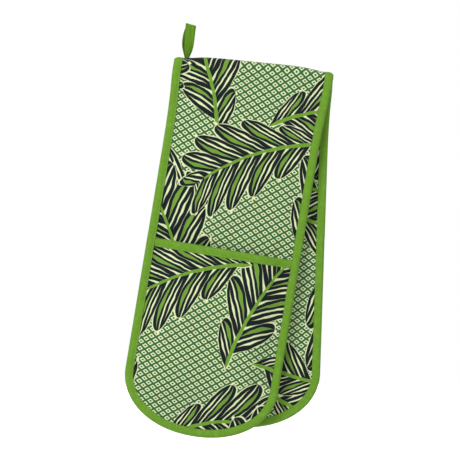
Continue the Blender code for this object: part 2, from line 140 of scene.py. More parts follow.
# Roll of the binding. Shares run from its cut edge, at 0, to the strip's edge
OUTER_SHARES = (0, 0.02, 0.07, 0.12, 0.16, 0.2, 0.26, 0.34, 0.43, 0.53)
INNER_SHARES = (0.02, 0.16, 0.5)
ROLL_DEPTH = 0.0040
ROLL_TURNS = 13
ROLL_SQUARENESS = 0.8
BINDING_FULL = 0.0006
EDGE_FULL_WANDER = 0.35
MOUTH_FULL_WANDER = 0.3
FULL_WANDER_LENGTH = 0.03
BINDING_WANDER = 0.00018
WANDER_LENGTH = 0.05
BINDING_DRAG = 0.00007
DRAG_REACH = 0.005
DRAG_PITCH = 0.0075
DRAG_SLANT = 1.2
DRAG_LENGTH = 0.02
STITCH_PRESS = 0.00035
PRESS_REACH = 0.0009
MOUTH_BUMP = 0.0012

# The hanging loop
LOOP_TOP = 0.0484
LOOP_WIDTH = 0.0125
LOOP_BASE_WIDTH = 0.0050
LOOP_NECK = 0.0063
LOOP_WIDENING = 0.011
LOOP_TAPE = 0.0014
LOOP_BEND_RADIUS = 0.0036
LOOP_SEAT = 0.0094
LOOP_LEG_RISE = 0.009
LOOP_BULGE_HEIGHT = 0.027
LOOP_REAR_SHIFT = 0.0043
LOOP_REAR_SPREAD = 0.0014
LOOP_LEFT = 0.0061
LOOP_TOP_LEAN = -0.0006
LOOP_BASE_HEIGHT = -0.0011
LOOP_TWIST = 0.6
LOOP_FOOT_TWIST = 0.5
LOOP_TOP_SLANT = 0.05
LOOP_TOP_FALL = 0.17
LOOP_FALL_START = 0.02
LOOP_FALL_REACH = 0.02
LOOP_CREASE = 0.0034
LOOP_CREASE_REACH = 0.024
LOOP_CREASE_SHARE = -0.2
LOOP_CREASE_ROUND = 0.15
LOOP_ROWS = 44
LOOP_BEND_ROWS = 17
TAPE_POINTS = 28
TAPE_SQUARENESS = (0.35, 0.8)
TAPE_HOLLOW = 0.28
TAPE_HOLLOW_REACH = 0.45
TAPE_HEM = 0.12
TAPE_HEM_PLACE = 0.78
TAPE_HEM_REACH = 0.14
TAIL_LENGTH = 0.0126
TAIL_OVERLAP = 0.0006
TAIL_ROWS = 12
TAIL_STACK = 1.03
TAIL_TAPER = 0.12
TAIL_TAPER_START = 0.9
TAIL_TAPER_REACH = 0.001
TACK_TURNS = 4
TACK_STEP = 0.0011
TACK_INSET = 0.0012
TACK_START = 0.002
TACK_SINK = 0.08
TACK_POINTS = 200

# The print
LATTICE_WIDE = 0.0112
LATTICE_HIGH = 0.0084
LATTICE_LINE = 0.17
LATTICE_DOT = 0.17
LATTICE_WANDER = 0.15
HAND_WANDER = 0.0012
TWILL_PITCH = 0.0012
TWILL_SLANT = 1.3
WEAVE_PITCH = 0.0006
EDGE_SOFT = 0.03
FROND_TILE = (0.176, 0.226)
FROND_SPLAY = math.radians(40)
FROND_REACH = 0.049
FROND_BEND = 0.010
FROND_CURL = 4.5
# LEAF_REACH, LEAF_BREADTH and STALK_TAPER are each a factor and an offset
LEAF_REACH = (0.86, 0.1)
LEAF_BREADTH = (0.58, 0.41)
LEAF_HALO = 0.06
STALK_TAPER = (-0.0011, 0.0022)
STALK_LEAST = 0.0005
STALK_HALO = 0.0009
STALK_SOFT = 0.0003
STALK_SPAN = (-0.09, 0.97)
STALK_POINT = 0.07
VEIN = 0.08
VEIN_SOFT = 0.06
STREAK_MIDDLE = 0.48
STREAK_REACH = 0.44
STREAK_SOFT = 0.05
# Each kind of frond: its offset as shares of the tile, its turn, length and number of leaflets
FRONDS = (
    ((0.02, 0.30), math.radians(12), 0.112, 4),
    ((0.16, 0.0), math.radians(64), 0.168, 5),
    ((0.60, 0.52), math.radians(-27), 0.138, 5),
)

# Studio
LENS = 135
SENSOR = 36
CAMERA_DISTANCE = 2.036
CAMERA_X = 0.0450
CAMERA_Z = -0.2427
AMBIENT = 0.38
FLOOR_HEIGHT = -0.56
FLOOR_REACH = 1.5
FLOOR_LIFT = 0.2
FLOOR_FADE = 0.5
LAMP_AIM = (0.05, 0, -0.24)
# Each lamp: its name, place, power and size
LAMPS = (
    ("key", (-0.95, -1.6, 0.75), 27, 0.9),
    ("fill", (1.4, -1.5, 0.1), 6.5, 1.6),
    ("top", (0.1, 0.2, 1.5), 7, 1.2),
    ("rear", (0.2, 1.8, 0.4), 12, 1.4),
)
# A Mix node's sockets for colours, among those for its other kinds of data
MIX_INPUTS = (0, 6, 7)
MIX_OUTPUT = 2
WHITE = (1, 1, 1, 1)
FLOOR_GREY = (0.86, 0.86, 0.86, 1)

# Colours as shown on a screen
CREAM = (228, 238, 186)
NAVY = (17, 28, 29)
LEAF_GREEN = (112, 160, 48)
GROUND_GREEN = (54, 104, 60)
BINDING_GREEN = (118, 170, 48)
TAPE_GREEN = (103, 152, 34)
THREAD_GREEN = (142, 184, 88)
LINING = (226, 224, 196)
WADDING = (236, 236, 230)

# Each material by the record's slot that its pieces take, filled in by main()
materials = {}


def smooth(share):
    share = np.clip(share, 0, 1)
    return share * share * (3 - 2 * share)


def bell(value):
    return np.exp(-(value**2))


def unit(vectors):
    return vectors / np.linalg.norm(vectors, axis=-1, keepdims=True)


def distance_along(line):
    """The distance along a line of points to each of them."""
    return np.concatenate([[0], np.cumsum(np.linalg.norm(np.diff(line, axis=0), axis=1))])


def joined(*parts):
    """Points, or places of a map, from their coordinates."""
    return np.stack(np.broadcast_arrays(*parts), axis=-1)


def sampled(at, travel, line):
    """Points of a line at the distances at, where travel holds the distance to each of its points."""
    return joined(*(np.interp(at, travel, coordinate) for coordinate in line.T))


def moved(points, matrix):
    matrix = np.array(matrix)
    return points @ matrix[:3, :3].T + matrix[:3, 3]


class Arm:
    """One half of the folded strip: its side of the fold plane, its lean and how far it reaches."""

    def __init__(self, name, side, lean, length):
        self.name = name
        self.body = f"{name}_arm"
        self.side = side
        self.lean = lean
        self.reach = length - OUTER_RADIUS
        self.end_start = self.reach - END_DEPTH
        self.mouth = self.reach - POCKET_DEPTH


BACK = Arm("back", 1, -ARM_FAN, BACK_ARM_LENGTH)
FRONT = Arm("front", -1, ARM_FAN, FRONT_ARM_LENGTH)

HINGES = {joint["name"]: Vector(joint["pos_m"]) for joint in frame["joints"]}
FOLD_AXIS = HINGES["fold"]
FOLD_FRAME = Matrix.Translation(FOLD_AXIS) @ Matrix.Rotation(HANG_TILT, 4, "Y")


def half_width(down):
    return STRIP_WIDTH / 2 + FOLD_FLARE * np.exp(-((down / FOLD_FLARE_REACH) ** 2))


def fold_drop(x, level):
    """How far the fold hangs towards its ends. The inner layers hang less, which presses the ends thin."""
    outer = np.clip((level - UNDER_LEVEL) / (OUTER_RADIUS - UNDER_LEVEL), 0, 1)
    share = INNER_DROP + (1 - INNER_DROP) * outer
    return share * FOLD_END_DROP * np.minimum(1, np.abs(x) / (half_width(0) - CLOTH_INSET)) ** 4


def edge_distance(arm, x, down):
    """Roughly how far a point of the cloth lies inside the strip's bound edge."""
    reach = half_width(down)
    along = np.maximum(0, (down - arm.end_start) / END_DEPTH)
    ring = (np.abs(x / reach) ** END_SQUARENESS + along**END_SQUARENESS) ** (1 / END_SQUARENESS)
    round_end = np.hypot(x, along * END_DEPTH) * (1 / np.maximum(ring, 1e-6) - 1)
    return np.where(along > 0, round_end, reach - np.abs(x))


def inside_rim(distance):
    return distance - BINDING_WIDTH - BINDING_RIM


def crown(distance):
    return smooth(inside_rim(distance) / CROWN_RAMP)


def half_wadding(distance):
    return (WADDING_EDGE + (WADDING_CROWN - WADDING_EDGE) * crown(distance)) / 2


def mouth_room(arm, down):
    return MOUTH_ROOM * (1 - smooth((down - arm.mouth - BINDING_WIDTH - GAP) / MOUTH_ROOM_REACH))


def pocket_floor(arm, x, down):
    """The level of the pocket lining's inner face: the strip's face, plus the room for a hand."""
    distance = edge_distance(arm, x, down)
    face = MID_RADIUS + half_wadding(distance) + GAP + FABRIC
    sides = smooth(inside_rim(distance) / SLACK_SIDE_RAMP)
    end = smooth(inside_rim(arm.reach - down) / SLACK_END_RAMP)
    return face + GAP + POCKET_SLACK * sides * end + mouth_room(arm, down)


def pocket_wadding(arm, x, down):
    distance = np.minimum(edge_distance(arm, x, down), down - arm.mouth)
    return POCKET_WADDING_EDGE + (POCKET_WADDING_CROWN - POCKET_WADDING_EDGE) * crown(distance)


def strip_levels(distance):
    """The lower and upper level of each layer of the strip."""
    half = half_wadding(distance)
    low, high = MID_RADIUS - half, MID_RADIUS + half
    return {
        "inner": (low - GAP - FABRIC, low - GAP),
        "wadding": (low, high),
        "face": (high + GAP, high + GAP + FABRIC),
    }


def pocket_levels(arm, x, down):
    """The lower and upper level of each layer of a pocket."""
    lining = pocket_floor(arm, x, down)
    wadding = lining + FABRIC + GAP
    face = wadding + pocket_wadding(arm, x, down) + GAP
    return {
        "lining": (lining, lining + FABRIC),
        "wadding": (wadding, face - GAP),
        "face": (face, face + FABRIC),
    }


def arm_world(arm, x, down, level):
    """Points of an arm in the model's frame. Near the fold its rows turn to the fold's slant."""
    slant = (x * math.tan(arm.lean) - fold_drop(x, level)) * (1 - smooth(down / SLANT_REACH))
    turn = FOLD_FRAME @ Matrix.Rotation(arm.lean, 4, "Y")
    return moved(joined(x, arm.side * level, slant - down), turn)


def fold_world(x, level, turn):
    """Points of the folded stretch, at a turn from 0 behind to pi in front."""
    height = level * np.sin(turn) - fold_drop(x, level)
    return moved(joined(x / math.cos(ARM_FAN), level * np.cos(turn), height), FOLD_FRAME)


def ripple(u, v, scale, seed):
    """Gentle irregular waves, about -1 to 1, from sines in seeded directions."""
    random = np.random.default_rng(seed)
    total = 0
    for angle, phase, stretch in random.uniform((0, 0, 0.7), (math.tau, math.tau, 1.6), (8, 3)):
        wave = (u * math.cos(angle) + v * math.sin(angle)) * math.tau / (scale * stretch)
        total = total + np.sin(wave + phase)
    return total / 4


def grid_faces(rows, columns, wrap_rows=False, wrap_columns=False):
    """Quads of a grid of points, wrapping round where asked."""
    along = np.arange(rows if wrap_rows else rows - 1)
    across = np.arange(columns if wrap_columns else columns - 1)
    a, b = (index.ravel() for index in np.meshgrid(along, across, indexing="ij"))
    a2, b2 = (a + 1) % rows, (b + 1) % columns
    return np.stack([a * columns + b, a2 * columns + b, a2 * columns + b2, a * columns + b2], axis=1)


def tube_faces(rows, columns, closed=False):
    """Faces round rows of points, with a flat face at each end unless the tube closes on itself."""
    faces = grid_faces(rows, columns, wrap_rows=closed, wrap_columns=True).tolist()
    if not closed:
        faces += [list(range(columns)), list(range((rows - 1) * columns, rows * columns))]
    return faces


def new_mesh(name, points, faces):
    mesh = bpy.data.meshes.new(name)
    mesh.from_pydata(points.reshape(-1, 3).tolist(), [], [list(face) for face in faces])
    return mesh


def vertex_places(mesh):
    places = np.empty(len(mesh.vertices) * 3, np.float32)
    mesh.vertices.foreach_get("co", places)
    return places.reshape(-1, 3)


def linked(name, data):
    """A new object in the scene."""
    item = bpy.data.objects.new(name, data)
    bpy.context.scene.collection.objects.link(item)
    return item


def build_object(name, points, faces, uv, slot, ring=None):
    """A smooth mesh object with its cloth map in metres and its slot's material.

    ring is the length of a map that closes on itself.
    """
    mesh = new_mesh(name, points, faces)
    bm = bmesh.new()
    bm.from_mesh(mesh)
    bmesh.ops.recalc_face_normals(bm, faces=bm.faces)
    bm.to_mesh(mesh)
    bm.free()
    layer = mesh.uv_layers.new(name="cloth")
    corner = np.empty(len(mesh.loops), np.int32)
    mesh.loops.foreach_get("vertex_index", corner)
    mapped = uv.reshape(-1, 2)[corner]
    if ring:
        along = mapped.reshape(-1, 4, 2)[..., 1]
        closing = np.ptp(along, axis=1, keepdims=True) > ring / 2
        along[closing & (along < ring / 2)] += ring
    layer.data.foreach_set("uv", mapped.astype(np.float32).ravel())
    mesh.polygons.foreach_set("use_smooth", [True] * len(mesh.polygons))
    mesh.materials.append(materials[slot])
    piece = linked(name, mesh)
    return piece


def shell(name, low, high, uv, slot):
    """A closed sheet from the grids of its two faces."""
    rows, columns = low.shape[:2]
    count = rows * columns
    grid = grid_faces(rows, columns)
    index = np.arange(count).reshape(rows, columns)
    rim = np.concatenate([index[0, :-1], index[:-1, -1], index[-1, :0:-1], index[:0:-1, 0]])
    after = np.roll(rim, -1)
    sides = np.stack([rim, after, after + count, rim + count], axis=1)
    faces = np.concatenate([grid, grid[:, ::-1] + count, sides])
    return build_object(name, np.stack([low, high]), faces, np.stack([uv, uv]), slot)


def tube(name, rows, uv, slot, ring=None):
    """A tube through rows of points, with flat ends, or closed on itself where ring gives its length."""
    return build_object(name, rows, tube_faces(*rows.shape[:2], closed=bool(ring)), uv, slot, ring)


def ride_for(piece, body, *nodes):
    """Lets a piece ride on a body and stand for its solids."""
    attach(piece, body)
    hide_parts(*nodes)


def blend_over_fold(piece):
    """Bakes the piece's placing into its mesh. It bends nothing: each point's level from the fold plane is
    found but not used.
    """
    level = np.abs(vertex_places(piece.data)[:, 1] - FOLD_AXIS.y)
    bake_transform(piece)


# The strip


def strip_rows(step):
    """Rows of the strip as (arm or None for the fold, place): from the back end to the front end."""
    rows = []
    for arm in (BACK, FRONT):
        places = np.linspace(0, arm.reach - CLOTH_INSET - GAP, round(arm.reach / step) + 1)
        rows.append([(arm, place) for place in places])
    turns = np.linspace(0, math.pi, round(math.pi * OUTER_RADIUS / step) + 1)[1:-1]
    return rows[0][::-1] + [(None, turn) for turn in turns] + rows[1]


def cloth_edge(arm, down, inset):
    """Half the cloth's width at a distance down, also round the end."""
    along = np.clip((down - arm.end_start) / (END_DEPTH - inset), 0, 1)
    width = half_width(min(down, arm.end_start)) - inset
    return width * (1 - along**END_SQUARENESS) ** (1 / END_SQUARENESS)


class Strip:
    """A grid over the whole strip, with each point's place on its arm or on the fold."""

    def __init__(self, step):
        self.rows = strip_rows(step)
        self.on_arms = np.array([arm is not None for arm, place in self.rows])
        shares = np.linspace(-1, 1, round(STRIP_WIDTH / step) + 1)
        half_fold = math.pi * MID_RADIUS / 2
        x, distance, along = [], [], []
        for arm, place in self.rows:
            down = place if arm else 0
            x.append(shares * cloth_edge(arm or BACK, down, CLOTH_INSET))
            distance.append(edge_distance(arm or BACK, x[-1], down))
            travel = arm.side * (place + half_fold) if arm else MID_RADIUS * (math.pi / 2 - place)
            along.append(np.full(len(shares), travel))
        self.x, self.distance, self.along = map(np.array, (x, distance, along))
        self.uv = joined(self.x, self.along)

    def world(self, level, bite=0):
        """World points at a level. bite draws the cloth in at the fold's ends."""
        x = self.x * (1 - bite * bell(self.along / BITE_REACH))
        points = []
        for index, (arm, place) in enumerate(self.rows):
            if arm:
                points.append(arm_world(arm, x[index], place, level[index]))
            else:
                points.append(fold_world(x[index], level[index], place))
        return np.array(points)

    def opened_map(self, level):
        """A cloth map that runs on evenly over the fold when the glove is opened flat."""
        along = self.along.copy()
        for index, (arm, place) in enumerate(self.rows):
            if arm:
                along[index] = arm.side * place
            else:
                turned = math.pi * smooth(0.5 - level[index] * math.cos(place) / (2 * INNER_TURN))
                along[index] = -level[index] * np.sin(place - turned)
        return joined(self.x, along)

    def outward(self):
        """The direction away from the fold plane at each point."""
        return unit(self.world(np.full(self.x.shape, OUTER_RADIUS)) - self.world(np.zeros(self.x.shape)))


def settled(name, points, outward, free, seed):
    """How far each point of a sewn-down cloth moves outward when it is a little too large and puffed up.

    The cloth is held where free is 0, and the result is smoothed out to nothing there.
    """
    waves = ripple(points[..., 0], points[..., 2], SEED_WAVE_LENGTH, seed) * free
    start = points + outward * waves[..., None] * SEED_WAVE
    sheet = linked(name, new_mesh(name, start, grid_faces(*free.shape)))
    held = sheet.vertex_groups.new(name="held")
    for index in np.flatnonzero(free.ravel() < HELD_UNDER):
        held.add([int(index)], 1.0, "REPLACE")
    cloth = sheet.modifiers.new("cloth", "CLOTH")
    for setting, value in CLOTH_SETTINGS.items():
        setattr(cloth.settings, setting, value)
    cloth.settings.vertex_group_mass = "held"
    cloth.settings.effector_weights.gravity = 0
    cloth.collision_settings.use_collision = False
    cloth.point_cache.frame_start = 1
    cloth.point_cache.frame_end = SETTLE_FRAMES
    for step in range(1, SETTLE_FRAMES + 1):
        bpy.context.scene.frame_set(step)
    evaluated = sheet.evaluated_get(bpy.context.evaluated_depsgraph_get())
    found = vertex_places(evaluated.data).reshape(points.shape)
    shift = ((found - points) * outward).sum(axis=-1)
    bpy.data.objects.remove(sheet)
    bpy.context.scene.frame_set(1)
    return np.clip(shift, -SETTLE_CAP, SETTLE_CAP) * np.clip(free, 0, 1)


def pucker(distance, along, seed):
    """Small gathers where the binding's seam holds the cloth, fading inwards."""
    near = np.maximum(0, distance - BINDING_WIDTH + SEAM_INSET)
    gathers = ripple(along, 0, PUCKER_LENGTH, seed)
    return PUCKER * gathers * bell(near / PUCKER_REACH) * smooth(near / PUCKER_START)


def add_strip():
    strip = Strip(CLOTH_STEP)
    covered = np.array([arm is not None and place > arm.mouth for arm, place in strip.rows])
    free = smooth((strip.distance - BINDING_WIDTH) / SEAM_HOLD)
    free = free * np.where(covered, COVERED_FREEDOM, 1)[:, None]
    free = free * (1 - FOLD_HOLD * bell(strip.along / FOLD_HOLD_REACH))
    outward = strip.outward()
    levels = strip_levels(strip.distance)
    face_shift = settled("strip_face_sheet", strip.world(levels["face"][1]), outward, free, seed=11)
    inner_shift = settled("strip_inner_sheet", strip.world(levels["inner"][0]), outward, free, seed=12)
    face_shift = face_shift + pucker(strip.distance, strip.along, seed=21)
    inner_shift = inner_shift / 2 - pucker(strip.distance, strip.along, seed=22) / 2
    layers = (
        ("strip_face_cloth", "face", "face_fabric", "print", face_shift, face_shift),
        ("strip_inner_cloth", "inner", "inner_fabric", "print", inner_shift, inner_shift),
        ("strip_padding", "wadding", "wadding", "wadding", np.maximum(inner_shift, 0), face_shift),
    )
    for name, layer, node, slot, low_shift, high_shift in layers:
        low, high = levels[layer][0] + low_shift, levels[layer][1] + high_shift
        uv = strip.opened_map(low) if layer == "inner" else strip.uv
        piece = shell(name, strip.world(low, BITES[layer]), strip.world(high, BITES[layer]), uv, slot)
        blend_over_fold(piece)
        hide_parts(f"back_{node}", f"fold_{node}", f"front_{node}")


# The pockets


class Pocket:
    """A grid over one pocket, from its mouth to the strip's round end."""

    def __init__(self, arm, step):
        self.arm = arm
        count = round(POCKET_DEPTH / step)
        places = np.linspace(arm.mouth + CLOTH_INSET, arm.reach - CLOTH_INSET - GAP, count + 1)
        shares = np.linspace(-1, 1, round(STRIP_WIDTH / step) + 1)
        self.x = np.array([shares * cloth_edge(arm, place, CLOTH_INSET) for place in places])
        self.down = np.repeat(places[:, None], len(shares), axis=1)
        self.from_seams = np.minimum(edge_distance(arm, self.x, self.down), self.down - arm.mouth)
        shift = POCKET_PRINT_SHIFT[arm.name]
        self.uv = joined(self.x + shift[0], shift[1] - self.down)

    def world(self, level):
        return arm_world(self.arm, self.x, self.down, level)


def add_pocket(arm):
    pocket = Pocket(arm, CLOTH_STEP)
    free = smooth((pocket.from_seams - BINDING_WIDTH) / SEAM_HOLD)
    levels = pocket_levels(arm, pocket.x, pocket.down)
    outward = np.broadcast_to(np.array([0, arm.side, 0]), (*free.shape, 3))
    seed = 13 if arm is FRONT else 14
    shift = settled(f"{arm.name}_pocket_sheet", pocket.world(levels["face"][1]), outward, free, seed=seed)
    shift = shift + pucker(pocket.from_seams, pocket.x + pocket.down, seed=24)
    slack = ripple(pocket.x, pocket.down, LINING_WAVE_LENGTH, seed=25) * LINING_WAVES * free
    layers = (
        ("pocket_cloth", "face", "print", shift, shift),
        ("pocket_lining_cloth", "lining", "lining", slack, slack),
        ("pocket_padding", "wadding", "wadding", slack, shift),
    )
    for name, layer, slot, low_shift, high_shift in layers:
        low, high = levels[layer]
        low, high = pocket.world(low + low_shift), pocket.world(high + high_shift)
        piece = shell(f"{arm.name}_{name}", low, high, pocket.uv, slot)
        ride_for(piece, arm.body, f"{arm.name}_pocket_{layer}")


# Bias bindings


def end_angles(width):
    """Angles round a quarter of the strip's end, evenly spaced along its edge."""
    angles = np.linspace(0, math.pi / 2, EDGE_SAMPLES)
    line = joined(width * np.cos(angles) ** END_POWER, END_DEPTH * np.sin(angles) ** END_POWER)
    travel = distance_along(line)
    count = round(travel[-1] / BINDING_STATION)
    return np.interp(np.linspace(0, travel[-1], count + 1), travel, angles)


class EdgePath:
    """Stations round the whole bound edge: down the back arm's left side and back round to its start."""

    def __init__(self):
        parts = [self.arm_part(BACK, -1), self.arm_part(BACK, 1)[::-1][1:], self.fold_part(1)[::-1],
                 self.arm_part(FRONT, 1), self.arm_part(FRONT, -1)[::-1][1:], self.fold_part(-1)]
        rows = [row for part in parts for row in part]
        self.side_of_fold = np.array([row[0] for row in rows])
        self.base, self.angle, self.side, self.turn = np.array([row[1:] for row in rows]).T[..., None]

    @staticmethod
    def arm_part(arm, side):
        straight = np.linspace(0, arm.end_start, round(arm.end_start / BINDING_STATION) + 1)
        angles = end_angles(half_width(arm.end_start))[1:]
        rows = [(arm.side, base, 0, side, 0) for base in straight]
        return rows + [(arm.side, arm.end_start, angle, side, 0) for angle in angles]

    @staticmethod
    def fold_part(side):
        count = round(math.pi * OUTER_RADIUS / BINDING_STATION)
        turns = np.linspace(math.pi, 0, count + 1)[1:-1]
        return [(0, 0, 0, side, turn) for turn in turns]

    def down(self, arm):
        return (self.base + END_DEPTH * np.sin(self.angle) ** END_POWER)[self.side_of_fold == arm.side]

    def place(self, inset, level):
        """World points at an inset from the edge and a level, both given for each station."""
        inset, level = np.broadcast_arrays(inset, level)
        points = np.empty((*level.shape, 3))
        for arm in (FRONT, BACK):
            rows = self.side_of_fold == arm.side
            base, angle, side = self.base[rows], self.angle[rows], self.side[rows]
            across = (half_width(base) - inset[rows]) * np.cos(angle) ** END_POWER
            down = base + (END_DEPTH - inset[rows]) * np.sin(angle) ** END_POWER
            points[rows] = arm_world(arm, side * across, down, level[rows])
        rows = self.side_of_fold == 0
        across = self.side[rows] * (half_width(0) - inset[rows])
        points[rows] = fold_world(across, level[rows], self.turn[rows])
        return points

    def travel(self):
        """Distance along the edge to each station, and the length of the whole ring."""
        line = self.place(np.zeros(self.base.shape), MID_RADIUS)[:, 0]
        travel = distance_along(np.concatenate([line, line[:1]]))
        return travel[:-1, None], travel[-1]


def flap_level(arm, down):
    """The level of the edge binding's outer skin, raised where it covers the ends of the mouth binding."""
    pocket = POCKET_EDGE_STACK + mouth_room(arm, np.maximum(down, arm.mouth))
    step = smooth((down - arm.mouth + BINDING_STEP) / BINDING_STEP)
    over_ends = MOUTH_BUMP * bell((down - arm.mouth - BINDING_WIDTH / 2) / BINDING_WIDTH)
    return OUTER_RADIUS + pocket * step + over_ends


def rolled_section(high, low, width, full_high, full_low):
    """A rolled binding in section, closed, as (inset, level) arrays: outer skin, then inner skin.

    high and low are the levels of its two flaps, one value for each station. The full values are
    how far the flaps stand up between their seam and the edge.
    """
    middle, half = (high + low) / 2, (high - low) / 2
    inset, level = [], []

    def add(place, height):
        inset.append(np.broadcast_to(place, middle.shape))
        level.append(height)

    def lift(place, full):
        seam = width - SEAM_INSET
        rise = full * np.sin(math.pi * np.clip((seam - place) / seam, 0, 1)) ** ROLL_SQUARENESS
        return rise - STITCH_PRESS * bell((place - seam) / PRESS_REACH)

    outer = [(width * (1 - share), BINDING / 2 * (share == 0)) for share in OUTER_SHARES]
    inner = [width * (1 - share) for share in INNER_SHARES]
    turns = np.linspace(0, math.pi, ROLL_TURNS)
    for place, raw_edge in outer:
        add(place, high + lift(place, full_high) - raw_edge)
    for turn in turns:
        squareness = np.sign(np.cos(turn)) * abs(np.cos(turn)) ** ROLL_SQUARENESS
        rise = lift(ROLL_DEPTH, full_high if math.cos(turn) > 0 else full_low) * abs(math.cos(turn))
        add(ROLL_DEPTH * (1 - math.sin(turn) ** ROLL_SQUARENESS), middle + (half + rise) * squareness)
    for place, raw_edge in outer[::-1]:
        add(place, low - lift(place, full_low) + raw_edge)
    for place in inner:
        add(place, low + BINDING - np.minimum(lift(place, full_low), 0))
    for turn in turns[::-2]:
        depth = BINDING + (ROLL_DEPTH - BINDING) * (1 - math.sin(turn))
        add(depth, middle + (half - BINDING) * math.cos(turn))
    for place in inner[::-1]:
        add(place, high - BINDING + np.minimum(lift(place, full_high), 0))
    return np.concatenate(inset, axis=1), np.concatenate(level, axis=1)


def section_map(inset, level, travel):
    """The cloth map of a rolled binding: round the section, and along it."""
    across = np.hypot(np.diff(inset, axis=1), np.diff(level, axis=1))
    around = np.concatenate([np.zeros((len(inset), 1)), np.cumsum(across, axis=1)], axis=1)
    return joined(around, travel)


def add_edge_binding():
    path = EdgePath()
    travel, ring = path.travel()
    high = np.full(travel.shape, OUTER_RADIUS)
    for arm in (FRONT, BACK):
        high[path.side_of_fold == arm.side] = flap_level(arm, path.down(arm))
    low = np.full(travel.shape, UNDER_LEVEL)
    fullness = BINDING_FULL * (1 + EDGE_FULL_WANDER * ripple(travel, 0, FULL_WANDER_LENGTH, seed=31))
    width = BINDING_WIDTH + BINDING_WANDER * ripple(travel, 0, WANDER_LENGTH, seed=32)
    inset, level = rolled_section(high, low, width, fullness, fullness * INNER_FULLNESS)
    drag = BINDING_DRAG * bell((inset - ROLL_DEPTH) / DRAG_REACH)
    waves = np.sin((travel + inset * DRAG_SLANT) * math.tau / DRAG_PITCH)
    level = level + drag * waves * ripple(travel, inset, DRAG_LENGTH, seed=33)
    uv = section_map(inset, level, travel)
    piece = tube("edge_bias_binding", path.place(inset, level), uv, "binding", ring)
    blend_over_fold(piece)
    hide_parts("front_edge_binding", "back_edge_binding", "fold_binding_left", "fold_binding_right")
    seam = width - SEAM_INSET
    piece = add_edge_stitches("outer", path, seam, high - STITCH_PRESS, away=STITCH_RADIUS)
    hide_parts("front_edge_seam_outer", "back_edge_seam_outer", "fold_seam_left", "fold_seam_right")
    piece = add_edge_stitches("inner", path, seam, low + STITCH_PRESS, away=-STITCH_RADIUS)
    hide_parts("front_edge_seam_inner", "back_edge_seam_inner")


def add_edge_stitches(face, path, inset, surface, away):
    """Stitches round the whole edge, on the outer or the inner skin of the binding."""
    line = path.place(inset, surface)[:, 0]
    above = path.place(inset, surface + away)[:, 0]
    closed = (np.concatenate([points, points[:1]]) for points in (line, above))
    piece, nearest = stitch_run(f"edge_stitches_{face}", *closed)
    blend_over_fold(piece)
    return piece


def stitch_run(name, line, above):
    """Separate stitches of thread along a line. above gives the way out of the cloth.

    Returns the piece and, for each stitch, the line's point nearest to its middle.
    """
    travel = distance_along(line)
    count = round(travel[-1] / STITCH_PITCH)
    starts = (np.arange(count) + 0.5 * (1 - STITCH_LENGTH / STITCH_PITCH)) * (travel[-1] / count)
    shares = np.linspace(0, 1, STITCH_RINGS)
    at = starts[:, None] + shares * STITCH_LENGTH
    middle = sampled(at, travel, line)
    out = unit(sampled(at, travel, above - line))
    across = np.cross(unit(middle[:, -1:] - middle[:, :1]), out)
    arch = np.sin(math.pi * shares) ** 0.5
    rise = (STITCH_RISE * arch - STITCH_SINK * (1 - arch))[None, :, None]
    thick = (STITCH_RADIUS * (STITCH_TIP + (1 - STITCH_TIP) * arch))[None, :, None, None]
    turns = np.arange(STITCH_SIDES) * math.tau / STITCH_SIDES
    ring = out[:, :, None] * np.sin(turns)[:, None] + across[:, :, None] * np.cos(turns)[:, None]
    points = (middle + out * rise)[:, :, None] + ring * thick
    one = tube_faces(STITCH_RINGS, STITCH_SIDES)
    size = STITCH_RINGS * STITCH_SIDES
    faces = [[corner + size * stitch for corner in face] for stitch in range(count) for face in one]
    around = turns / math.tau * THREAD_AROUND
    piece = build_object(name, points, faces, joined(around, at[:, :, None]), "thread")
    return piece, np.clip(np.searchsorted(travel, starts + STITCH_LENGTH / 2), 0, len(travel) - 2)


def add_mouth_binding(arm):
    end = half_width(arm.mouth) - CLOTH_INSET - BINDING
    x = np.linspace(-end, end, round(2 * end / BINDING_STATION) + 1)[:, None]
    cut = arm.mouth + CLOTH_INSET
    high = pocket_levels(arm, x, cut)["face"][1] + GAP + BINDING
    low = pocket_floor(arm, x, cut) - GAP - BINDING
    fullness = BINDING_FULL * (1 + MOUTH_FULL_WANDER * ripple(x, 0, FULL_WANDER_LENGTH, seed=41))
    inset, level = rolled_section(high, low, np.full(x.shape, BINDING_WIDTH), fullness, fullness)
    rows = arm_world(arm, np.broadcast_to(x, inset.shape), arm.mouth + inset, level)
    piece = tube(f"{arm.name}_mouth_bias_binding", rows, section_map(inset, level, x), "binding")
    ride_for(piece, arm.body, f"{arm.name}_mouth_binding")
    seam = arm.mouth + BINDING_WIDTH - SEAM_INSET
    shown = np.abs(x[:, 0]) < end - BINDING_WIDTH
    line = arm_world(arm, x, seam, high - STITCH_PRESS)[shown, 0]
    above = arm_world(arm, x, seam, high)[shown, 0]
    stitches = stitch_run(f"{arm.name}_mouth_stitches", line, above)[0]
    ride_for(stitches, arm.body, f"{arm.name}_mouth_seam")


# The hanging loop


def loop_width(height):
    """The tape's width as it opens from its gathered foot."""
    opening = 1 - np.exp(-np.maximum(0, height - LOOP_NECK) / LOOP_WIDENING)
    return LOOP_BASE_WIDTH + (LOOP_WIDTH - LOOP_BASE_WIDTH) * opening


def loop_centre(height, turn):
    """The tape's middle across the strip. The rear leg, where turn is over 0, stands out to the left."""
    lean = LOOP_TOP_LEAN * smooth(height / LOOP_TOP)
    rear = LOOP_REAR_SHIFT * np.sin(math.pi * turn) + LOOP_REAR_SPREAD * turn
    return LOOP_LEFT + LOOP_WIDTH / 2 - STRIP_WIDTH / 2 + lean - rear


